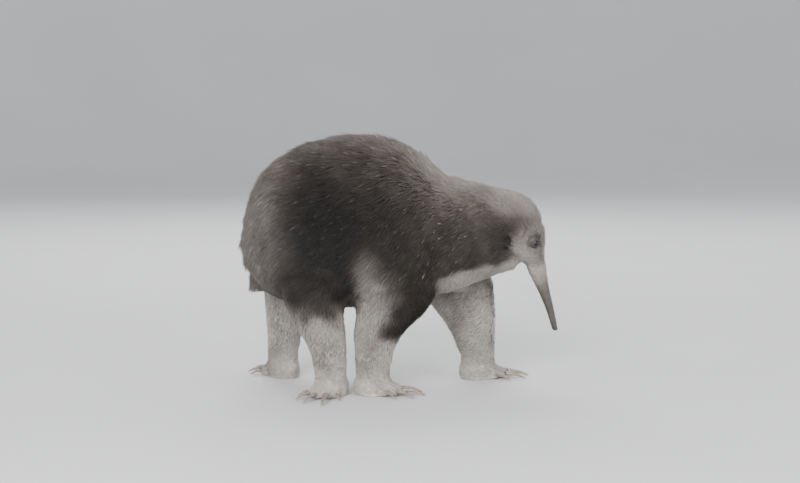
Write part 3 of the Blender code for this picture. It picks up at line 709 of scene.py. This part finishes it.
def scatter(density, seed):
    """Even random roots on the skin. density is in roots per square mm, at each vertex."""
    draw = np.random.default_rng(seed)
    corners = places[skin_faces]
    cross = np.cross(corners[:, 1] - corners[:, 0], corners[:, 2] - corners[:, 0])
    areas = np.linalg.norm(cross, axis=1) / 2 / MM**2
    expected = areas * density[skin_faces].mean(1)
    counts = np.floor(expected + draw.random(len(expected))).astype(int)
    which = np.repeat(np.arange(len(skin_faces)), counts)
    weights = draw.dirichlet((1, 1, 1), len(which))
    rows = skin_faces[which]

    def spread(values):
        """Vertex values at the roots."""
        return np.einsum("ij...,ij->i...", values[rows], weights)

    roots = {
        "places": spread(places),
        "normals": unit(spread(normals)),
        "draw": draw,
        "shares": {part: spread(share) for part, share in shares.items()},
    }
    roots["depth"] = coat_depth(roots["places"], roots["normals"])
    return roots


def only(roots, keep):
    """Some of the roots, by a mask, a slice or numbers."""
    kept = {key: roots[key][keep] for key in ("places", "normals", "depth")}
    kept["shares"] = {part: share[keep] for part, share in roots["shares"].items()}
    return {**kept, "draw": roots["draw"]}


# %% [markdown]
# ## The lie of the coat
# Hair runs back along the trunk and down the flanks, down the legs, and away from the beak over the
# face. The directions of the parts are blended by their shares and laid flat on the skin.

# %% Lie
FOOT_WAYS = dict(forefoot_right=-14, forefoot_left=8, hindfoot_right=-118, hindfoot_left=128)
FOOT_MIDDLES = np.array([middle_of(node_name)[:2] for node_name in FOOT_WAYS])


def turned(way, other, angles):
    """Ways turned by angles toward others that are square to them."""
    return way * np.cos(angles)[:, None] + other * np.sin(angles)[:, None]


def foot_ways(places):
    """The way of the toes of the nearest foot, a little downward."""
    apart = np.linalg.norm(places[:, None, :2] - FOOT_MIDDLES[None], axis=2)
    angles = np.radians(list(FOOT_WAYS.values()))[apart.argmin(1)]
    return np.stack([np.cos(angles), np.sin(angles), np.full(len(angles), -0.35)], 1)


FACE_SOURCE = (150, 1, 112)


def lie_at(places, normals, parts, draw, swing):
    """The way the hair lies, with a random swing in degrees."""
    count, x = len(places), places[:, 0] / MM
    side = np.abs(normals[:, 1])
    neck = ease(30, 74, x)
    fall = -0.1 - (0.85 - 0.5 * neck) * side**2
    trunk_way = unit(np.stack([-np.ones(count), np.zeros(count), fall], 1))
    down = (1 - ease(0.0, 0.32, height_share(places))) * (1 - neck)
    down = np.maximum(down, 1 - ease(-135, -88, x))
    body_way = trunk_way + (np.array((-0.22, 0, -1)) - trunk_way) * down[:, None]
    away = unit(places - np.array(FACE_SOURCE) * MM)
    back = 1 - ease(-6, 32, past_nape(places))[:, None]
    face_way = unit(away * (1 - back) + np.array((-1, 0, -0.4)) * back)
    way = body_way * (1 - parts["head"] - parts["ear"] - parts["beak"] - parts["foot"])[:, None]
    way += face_way * (parts["head"] + parts["ear"] + parts["beak"])[:, None]
    way += unit(foot_ways(places)) * parts["foot"][:, None]
    way = unit(way - normals * (way * normals).sum(1)[:, None])
    turn = np.radians(swing * draw.normal(size=count) + 0.9 * swing * ripple(places, 28 * MM, 3))
    return turned(way, np.cross(normals, way), turn)


# %% [markdown]
# ## One tuft, thousands of times
# A tuft is a thin, slightly curved spike with three sides, which leaves the skin steeply and bends
# down along it. Copying thousands of objects would be slow, so all the tufts of a piece are worked
# out together as arrays and become one mesh. Short hairs on face and feet are straight spikes with
# fewer faces. Neighbours lean together a little, as real hair does.

# %% Tuft arrays
SUNK, KNEE, FLATNESS, BEND = 1.0 * MM, 0.45, 0.6, math.radians(11)
FLOOR_GAP = 0.2 * MM


def ring_points(middle, across, upward, radii, sides=3, flatness=FLATNESS):
    """Points round each middle, as many as there are sides."""
    points = []
    for i in range(sides):
        angle = math.tau * (i / sides + 0.25)
        out = across * math.cos(angle) + upward * flatness * math.sin(angle)
        points.append(middle + out * radii[:, None])
    return np.stack(points, 1)


def tuft_points(roots, lie, lengths, lifts, radii, bent):
    """Every tuft's rings, at the root and at the knee if it is bent, and its tip."""
    places, normals = roots["places"], roots["normals"]
    across = np.cross(normals, lie)
    bend = BEND if bent else 0.0
    first, last = turned(lie, normals, lifts + bend), turned(lie, normals, lifts - bend)
    start = places - first * SUNK
    knee = places + first * (lengths * KNEE)[:, None]
    tip = knee + last * (lengths * (1 - KNEE))[:, None]
    rings = [ring_points(start, across, np.cross(first, across), radii)]
    if bent:
        middle = unit(first + last)
        rings.append(ring_points(knee, across, np.cross(middle, across), radii * 0.85))
    return rings, tip


def leaned(tip, places, size, pull, seed):
    """Tips pulled part of the way toward those of their clump."""
    draw = np.random.default_rng(seed)
    clumps = max(1, int(len(places) / size))
    chosen = draw.choice(len(places), clumps, replace=False)
    tree = KDTree(clumps)
    for row, i in enumerate(chosen):
        tree.insert(Vector(places[i]), row)
    tree.balance()
    near = chosen[[tree.find(Vector(p))[1] for p in places]]
    strength = pull * draw.uniform(0.4, 1.0, len(places))[:, None]
    return tip + (tip[near] - tip) * strength


def tuft_faces(rings, sides):
    """The faces of one tuft, as lists of its vertex numbers."""
    faces = [tuple(reversed(range(sides)))]
    for start in range(0, sides * (rings - 1), sides):
        for i in range(sides):
            j = (i + 1) % sides
            faces.append((start + i, start + j, start + sides + j, start + sides + i))
    last = sides * (rings - 1)
    faces += [(last + i, last + (i + 1) % sides, sides * rings) for i in range(sides)]
    return faces


def tuft_patch(heights, sides):
    """Where each face corner of one tuft lies in its patch of the flat map."""
    turns = [math.tau * i / sides for i in reversed(range(sides))]
    corners = [(0.5 + 0.1 * math.cos(a), 0.1 + 0.1 * math.sin(a)) for a in turns]
    for low, high in zip(heights, heights[1:]):
        for i in range(sides):
            left, right = i / sides, (i + 1) / sides
            corners += [(left, low), (right, low), (right, high), (left, high)]
    for i in range(sides):
        corners += [(i / sides, heights[-1]), ((i + 1) / sides, heights[-1])]
        corners.append(((i + 0.5) / sides, 1.0))
    return (np.array(corners) - 0.5) * PATCH


def mesh_of_tufts(name, rings, tip, heights, map_places, colours):
    """One mesh of many tufts. colours holds rows for each ring and for the tip."""
    sides = rings[0].shape[1]
    count, per = len(tip), sides * len(rings) + 1
    points = np.concatenate([*rings, tip[:, None]], 1)
    points[:, :, 2] = np.maximum(points[:, :, 2], FLOOR_GAP)
    faces = tuft_faces(len(rings), sides)
    corners = np.concatenate(faces)
    starts = np.cumsum([0] + [len(face) for face in faces])
    mesh = bpy.data.meshes.new(name)
    mesh.vertices.add(count * per)
    mesh.vertices.foreach_set("co", points.astype(np.float32).ravel())
    mesh.loops.add(count * len(corners))
    numbers = corners[None] + np.arange(count)[:, None] * per
    mesh.loops.foreach_set("vertex_index", numbers.astype(np.int32).ravel())
    mesh.polygons.add(count * len(faces))
    first = starts[None, :-1] + np.arange(count)[:, None] * len(corners)
    mesh.polygons.foreach_set("loop_start", first.astype(np.int32).ravel())
    mesh.update(calc_edges=True)
    mesh.shade_smooth()
    layer = mesh.uv_layers.new(name="OFBake")
    spots = map_places[:, None] + tuft_patch(heights, sides)[None]
    layer.data.foreach_set("uv", spots.astype(np.float32).ravel())
    piece = placed(name, mesh)
    shades = [np.repeat(shade[:, None], sides, 1) for shade in colours[:-1]]
    shades.append(colours[-1][:, None])
    paint(piece, np.concatenate(shades, 1).reshape(-1, 3))
    return piece


# %% [markdown]
# ## Growing the coat
# Each kind of coat is a few numbers: how long and thick its tufts are, how closely they stand and
# how much they vary. A tuft's lift follows from its length and the depth of the coat there. Roots
# are darker than tips, a painted shade deep in the coat, and tips a little paler, a painted sheen.
# A few longer, paler hairs stand a little higher.

# %% Grow
# Roots are painted darker, a painted shade deep in the coat; tips are painted a little paler, a
# painted sheen.
ROOT_SHADE, SHORT_ROOT_SHADE, KNEE_SHADE, TIP_SHADE = 0.5, 0.7, 0.9, 1.12
SINGLE_SHARE, SINGLE_LENGTH, SINGLE_WIDTH = 0.07, 1.22, 0.6


def grow(name, roots, keep, length, radius, bent=True, swing=9, clump=14, pull=0.3):
    """One piece of coat from the roots to keep. length and radius are in mm."""
    roots = only(roots, keep)
    draw, count = roots["draw"], len(roots["places"])
    lengths = length[keep] * MM * draw.uniform(0.78, 1.12, count)
    lengths *= 1 + 0.1 * ripple(roots["places"], 17 * MM, 29)
    single = draw.random(count) < SINGLE_SHARE
    lengths[single] *= SINGLE_LENGTH
    lifts = np.arcsin(np.clip(roots["depth"] / lengths, 0.1, 0.75))
    lifts += np.radians(3.0) * draw.normal(size=count) + np.radians(6) * single
    radii = radius[keep] * MM * draw.uniform(0.75, 1.2, count)
    radii[single] *= SINGLE_WIDTH
    lie = lie_at(roots["places"], roots["normals"], roots["shares"], draw, swing)
    rings, tip = tuft_points(roots, lie, lengths, lifts, radii, bent)
    tip = leaned(tip, roots["places"], clump, pull, 71)
    tones = tones_at(roots["places"], roots["normals"], roots["shares"])
    tones = np.clip(tones + 0.045 * draw.normal(size=count) + 0.1 * single, 0, 1)
    base = colours_of(tones) * draw.uniform(0.82, 1.18, count)[:, None]
    shades = (ROOT_SHADE, KNEE_SHADE, TIP_SHADE) if bent else (SHORT_ROOT_SHADE, TIP_SHADE)
    heights = (0.0, KNEE) if bent else (0.0,)
    colours = [base * shade for shade in shades]
    spots = map_points_at(roots["places"])
    piece = mesh_of_tufts(name, rings, tip, heights, spots, colours)
    piece.data.materials.append(coat_material)
    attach(piece, "root")
    print(name, "tufts:", count, " faces:", len(piece.data.polygons))
    return piece


# %% [markdown]
# ## Materials
# A material here reads the markings from the mesh and adds the fine things that geometry leaves
# out. Skin gets mottling, pores and creases as bump. Hair gets a soft sheen, which makes the edges
# of a plush coat look paler. All patterns use Object coordinates, so they hold in every view.

# %% Node helpers


def fed(made, **sockets):
    """Feed a node's sockets, by links from other nodes' outputs or by plain values."""
    for name, value in sockets.items():
        socket = made.inputs[name.replace("_", " ")]
        if isinstance(value, bpy.types.NodeSocket):
            made.id_data.links.new(value, socket)
        else:
            socket.default_value = value
    return made


def new_material(name, **sockets):
    """A Principled material and its shader, with plain values on its sockets."""
    made = bpy.data.materials.new(name)
    made.use_nodes = True
    return made, fed(made.node_tree.nodes["Principled BSDF"], **sockets)


def node(shader, kind, **sockets):
    """A new node for a shader, with its sockets fed."""
    return fed(shader.id_data.nodes.new("ShaderNode" + kind), **sockets)


def noise(shader, size, detail=4.0, stretch=None):
    """A noise on Object coordinates, with patches of a size, and each axis scaled by stretch."""
    place = node(shader, "TexCoord").outputs["Object"]
    if stretch:
        place = node(shader, "Mapping", Vector=place, Scale=stretch).outputs["Vector"]
    return node(shader, "TexNoise", Vector=place, Scale=1 / size, Detail=detail).outputs["Fac"]


def ramp(shader, value, low, high, dark, pale):
    """A colour from dark to pale, as a value goes from low to high."""
    made = node(shader, "ValToRGB", Fac=value)
    for stop, position, colour in zip(made.color_ramp.elements, (low, high), (dark, pale)):
        stop.position, stop.color = position, (*colour, 1)
    return made.outputs["Color"]


def marked(shader, pattern, darkest, palest):
    """Colour a shader with the mesh's markings, made darker and paler by a pattern."""
    read = node(shader, "Attribute")
    read.attribute_name = "marking"
    mix = node(shader, "Mix")
    mix.data_type, mix.blend_type = "RGBA", "MULTIPLY"
    fed(mix, Factor=1.0)
    shade = ramp(shader, pattern, 0.3, 0.7, (darkest,) * 3, (palest,) * 3)
    mix.id_data.links.new(read.outputs["Color"], mix.inputs[6])
    mix.id_data.links.new(shade, mix.inputs[7])
    fed(shader, Base_Color=mix.outputs[2])


def bumped(shader, height, depth, strength):
    """Bump on a shader from a height, with its depth in metres."""
    bump = node(shader, "Bump", Height=height, Distance=depth, Strength=strength)
    fed(shader, Normal=bump.outputs["Normal"])


# %% Skin material
PORE_SIZE, PORE_DEPTH = 0.9 * MM, 0.14 * MM
skin_material, shader = new_material("skin", Roughness=0.55, Specular_IOR_Level=0.4)
marked(shader, noise(shader, 4 * MM), 0.78, 1.1)
place = node(shader, "TexCoord").outputs["Object"]
pores = node(shader, "TexVoronoi", Vector=place, Scale=1 / PORE_SIZE)
pores.feature = "SMOOTH_F1"
creases = node(shader, "Math")
creases.operation = "ADD"
heights = pores.outputs["Distance"], noise(shader, 2.4 * MM, 6, (1, 1, 2.2))
for socket, height in zip(creases.inputs, heights):
    creases.id_data.links.new(height, socket)
bumped(shader, creases.outputs[0], PORE_DEPTH, 0.7)

# %% Coat and spine materials
coat_material, shader = new_material(
    "coat", Roughness=0.7, Sheen_Weight=0.06, Sheen_Roughness=0.5, Specular_IOR_Level=0.14
)
marked(shader, noise(shader, 1.6 * MM, 3), 0.82, 1.14)
spine_material, shader = new_material("spine", Roughness=0.36, Coat_Weight=0.15)
marked(shader, noise(shader, 0.9 * MM, 3, (1, 1, 0.4)), 0.8, 1.1)
print("materials:", [material.name for material in bpy.data.materials])

# %% Paint the skin
UNDER_COAT_SHADE = 0.55
# The skin under the coat is painted darker, a painted shade of the coat over it; bare skin keeps its
# full colour.
bare = np.clip(1.15 - coat_depth(places, normals) / (2.5 * MM), 0, 1)[:, None]
paint(skin, colours_of(tones) * (UNDER_COAT_SHADE + (1 - UNDER_COAT_SHADE) * bare))
skin.data.materials.clear()
skin.data.materials.append(skin_material)
skin.data.shade_smooth()
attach(skin, "root")
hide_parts(*FLESH)
print("the skin stands for", len(FLESH), "CAD nodes")

# %% [markdown]
# ## The coat, piece by piece
# The coat is grown in pieces of a size that other programs can handle. Hair is long and plush on
# the trunk, shorter on the legs, and short and fine on face and feet.

# %% Coat on trunk and legs
FOOT_HAIR, LEG_HAIR, BACK_HAIR, NECK_HAIR, HEAD_HAIR = 3.6, 7.6, 16.5, 12.5, 11.2
BODY_DENSITY, HEAD_DENSITY, FOOT_DENSITY = 1.06, 2.2, 2.2
EVERY = slice(None)
TAIL_MIDDLE = middle_of("tail")


def body_length(places, normals):
    """The length of the hair on trunk and legs, in mm."""
    low = FOOT_HAIR + (LEG_HAIR - FOOT_HAIR) * ease(14, 42, places[:, 2] / MM)
    top = BACK_HAIR + (NECK_HAIR - BACK_HAIR) * ease(20, 66, places[:, 0] / MM)
    top -= 4 * (1 - ease(-140, -105, places[:, 0] / MM))
    top += (HEAD_HAIR - top) * ease(-30, 2, past_nape(places))
    length = low + (top - low) * ease(0.0, 0.35, height_share(places))
    length *= 1 - 0.25 * ease(0.3, 0.8, -normals[:, 2])
    length *= 1 - 0.4 * throat_share(places)
    return length * (0.8 + 0.2 * ease(10 * MM, 32 * MM, distance_to([TAIL_MIDDLE], places)))


soles = ease(-0.5, 0.0, normals[:, 2])
body_share = 1 - shares["head"] - shares["ear"] - shares["beak"] - shares["foot"]
under = ease(0.2, 0.7, -normals[:, 2])
body_share *= ease(0.05, 0.2, body_share)
near_head = ease(-26, -2, past_nape(places))
roots = scatter(body_share * (BODY_DENSITY - 0.3 * under + 0.5 * near_head), 101)
x, height = roots["places"][:, 0] / MM, height_share(roots["places"])
long = body_length(roots["places"], roots["normals"])
thin = 0.3 + 0.005 * (long - 8)
right = roots["places"][:, 1] < MIDDLE_Y
low, top = height < 0.12, roots["normals"][:, 2] > 0.42
for side, on_side in (("right", right), ("left", ~right)):
    for name, keep in (
        ("fur_forelegs_", low & (x > -43)),
        ("fur_hindlegs_", low & (x <= -43)),
        ("fur_neck_", ~low & (x > 38)),
        ("fur_back_", ~low & top & (x <= 38)),
        ("fur_shoulder_", ~low & ~top & (x <= 38) & (x > -32)),
        ("fur_flank_", ~low & ~top & (x <= -32) & (x > -80)),
        ("fur_rump_", ~low & ~top & (x <= -80)),
    ):
        grow(name + side, roots, keep & on_side, long, thin)

# %% Coat on the head and the feet
face_share = shares["head"] + 0.6 * shares["beak"]
dense = face_share * (HEAD_DENSITY + 1.2 * ease(0, 24, past_nape(places)))
dense += 1.5 * shares["trunk"] * ease(-24, 2, past_nape(places)) * ease(40, 60, places[:, 0] / MM)
roots = scatter(dense * (1 - bareness(places)), 103)
short = 1.6 + 2.1 * roots["depth"] / MM
short += 1.2 * (1 - ease(0, 22, past_nape(roots["places"])))
grow("fur_head", roots, EVERY, short, 0.2 + 0.012 * short, bent=False, clump=8, pull=0.15)
roots = scatter(shares["foot"] * soles * FOOT_DENSITY, 104)
short = np.full(len(roots["places"]), FOOT_HAIR)
grow("fur_feet", roots, EVERY, short, 0.07 * short, bent=False, clump=8, pull=0.1)

# %% [markdown]
# ## Spines
# A long-beaked echidna's spines are short and lie hidden in its fur, so that only pale tips show.
# They stand on the trunk at a fair distance from one another, rooted in the skin, and lie back
# with the hair. Each is a round, tapered body of a few faces.

# %% Grow the spines
SPINE_GAP, SPINE_ROOT, SPINE_BEND, SPINE_SIDES = 8.2 * MM, 2 * MM, math.radians(5), 6
SPINE_DENSITY = 0.12
SPINE_HEIGHTS = (0.0, 0.45, 0.8)
SPINE_WIDTHS = (0.95, 1.0, 0.62)
SPINE_COLOURS = np.array(
    [(0.03, 0.025, 0.02), (0.11, 0.095, 0.075), (0.26, 0.235, 0.19), (0.36, 0.33, 0.275)]
)


def apart_from_each_other(candidates, gap):
    """The numbers of places that keep a gap from all chosen before."""
    chosen = []
    for i, place in enumerate(candidates):
        if not chosen or distance_to([place], candidates[chosen]).min() > gap:
            chosen.append(i)
    return np.array(chosen)


spiny = ease(0.5, 0.8, shares["trunk"]) * ease(-0.45, -0.15, normals[:, 2])
spiny *= ease(96, 108, places[:, 2] / MM) * (1 - ease(72, 82, places[:, 0] / MM))
spiny *= ease(16 * MM, 34 * MM, distance_to([TAIL_MIDDLE], places))
roots = scatter(spiny * SPINE_DENSITY, 105)
roots = only(roots, apart_from_each_other(roots["places"], SPINE_GAP))
spots, ways, draw = roots["places"], roots["normals"], roots["draw"]
lie = lie_at(spots, ways, roots["shares"], draw, 9)
on_neck = ease(20, 66, spots[:, 0] / MM)
lengths = (17.5 - 5.5 * on_neck) * MM * draw.uniform(0.85, 1.15, len(spots))
lifts = np.arcsin(np.clip((roots["depth"] + 0.2 * MM) / lengths, 0.1, 0.8))
widths = (0.95 - 0.2 * on_neck) * MM * draw.uniform(0.85, 1.15, len(spots))
across = np.cross(ways, lie)
rings, centre, previous = [], spots, 0.0
for height, width in zip(SPINE_HEIGHTS, SPINE_WIDTHS):
    way = turned(lie, ways, lifts + SPINE_BEND * (1 - 2 * height))
    step = lengths * (height - previous) if height else np.full(len(spots), -SPINE_ROOT)
    centre, previous = centre + way * step[:, None], height
    square = np.cross(way, across)
    rings.append(ring_points(centre, across, square, widths * width, SPINE_SIDES, 1.0))
tip = centre + way * (lengths * (1 - previous))[:, None]
hidden = spot(spots, (-45, 150), (80, 75))
seen = spot(spots, (55, 145), (28, 32))
shade = (draw.uniform(0.7, 1.1, len(spots)) * (1 - 0.8 * hidden) * (1 + 0.4 * seen))[:, None]
colours = [shade * row for row in SPINE_COLOURS]
spines = mesh_of_tufts("spines", rings, tip, SPINE_HEIGHTS, map_points_at(spots), colours)
spines.data.materials.append(spine_material)
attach(spines, "root")
print("spines:", len(spots), " faces:", len(spines.data.polygons))

# %% [markdown]
# ## Claws
# The strong claws are the CAD claws, rounded: a copy of each is merged, subdivided and given a horn
# material with fine lengthwise streaks.

# %% Claws
claw_material, shader = new_material("claw", Roughness=0.4, Coat_Weight=0.2)
streak = noise(shader, 1.1 * MM, 5, (0.5, 0.5, 1.6))
fed(shader, Base_Color=ramp(shader, streak, 0.3, 0.72, (0.13, 0.105, 0.08), (0.36, 0.31, 0.25)))
bumped(shader, streak, 0.15 * MM, 0.6)
CLAW_NODES = sorted(name for name in NODES if "claw" in name)
for node_name in CLAW_NODES:
    claw = merged_copy("horn_" + node_name, [node_name])
    applied(claw, "SUBSURF", levels=2, render_levels=2)
    claw.data.materials.append(claw_material)
    claw.data.shade_smooth()
    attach(claw, "root")
    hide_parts(node_name)
print("claws:", len(CLAW_NODES))

# %% [markdown]
# ## Eyes
# An echidna's eye is a small dark bead. A sphere gets a slightly raised cornea and a wet shine.

# %% Eyes
CORNEA_RISE, CORNEA_EDGE = 0.05, (0.75, 0.95)
eye_material, shader = new_material(
    "eye", Roughness=0.2, Coat_Weight=0.4, Coat_Roughness=0.06, Specular_IOR_Level=0.2
)
depths = noise(shader, 1.2 * MM, 3)
fed(shader, Base_Color=ramp(shader, depths, 0.35, 0.7, (0.003,) * 3, (0.014, 0.01, 0.008)))
for side, centre in EYES.items():
    bpy.ops.mesh.primitive_uv_sphere_add(segments=40, ring_count=24, radius=EYE_RADIUS)
    eye = bpy.context.object
    eye.name = "eyeball_" + side
    spots = places_of(eye)
    forward = unit(spots) @ np.array(EYE_WAYS[side])
    spots *= 1 + CORNEA_RISE * ease(*CORNEA_EDGE, forward)[:, None]
    move_to(eye, spots + np.array(centre))
    eye.data.materials.append(eye_material)
    eye.data.shade_smooth()
    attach(eye, "root")
    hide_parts("eye_" + side)
print("eyes:", len(EYES))

# %% [markdown]
# ## The studio
# A pale round floor curves up into a wall all round, so that every view has the same plain ground.
# A large soft light stands near the camera, as the flash did, with a weaker one to the side, one
# above and behind that lifts the edge of the back, and a faint one on the far side.

# %% Floor
FLOOR_RADIUS, COVE_RADIUS, COVE_STEPS, WALL = 2.3, 1.5, 14, 1.6

bpy.ops.mesh.primitive_circle_add(vertices=128, radius=FLOOR_RADIUS, fill_type="NGON")
floor = bpy.context.object
floor.name = "floor"
edit_all()
reach, height = FLOOR_RADIUS, 0.0
for step in range(1, COVE_STEPS + 1):
    angle = math.radians(90) * step / COVE_STEPS
    new_reach = FLOOR_RADIUS + COVE_RADIUS * math.sin(angle)
    new_height = COVE_RADIUS * (1 - math.cos(angle))
    bpy.ops.mesh.extrude_edges_move(TRANSFORM_OT_translate={"value": (0, 0, new_height - height)})
    grow_by = new_reach / reach
    bpy.ops.transform.resize(value=(grow_by, grow_by, 1), center_override=(0, 0, 0))
    reach, height = new_reach, new_height
bpy.ops.mesh.extrude_edges_move(TRANSFORM_OT_translate={"value": (0, 0, WALL)})
bpy.ops.object.mode_set(mode="OBJECT")
floor.data.shade_smooth()
floor_material, shader = new_material("floor", Roughness=0.9)
fed(shader, Base_Color=ramp(shader, noise(shader, 0.3, 2), 0.3, 0.7, (0.66,) * 3, (0.69,) * 3))
floor.data.materials.append(floor_material)
print("floor faces:", len(floor.data.polygons))

# %% Lights
LIGHTS = (
    ("key", (-0.5, -1.8, 0.85), 1.1, 60),
    ("fill", (1.4, -1.1, 0.55), 1.5, 20),
    ("back", (-0.2, 1.3, 1.3), 1.3, 26),
    ("far_fill", (1.7, 1.3, 0.6), 1.2, 12),
)
for name, place, size, power in LIGHTS:
    bpy.ops.object.light_add(type="AREA", location=place)
    light = bpy.context.object
    light.name = name
    light.data.size = size
    light.data.energy = power
    light.rotation_euler = (AIM - Vector(place)).to_track_quat("-Z", "Y").to_euler()
world = bpy.data.worlds.new("studio")
bpy.context.scene.world = world
world.use_nodes = True
fed(world.node_tree.nodes["Background"], Color=(0.9, 0.93, 1.0, 1), Strength=0.72)
print("lights:", [row[0] for row in LIGHTS])
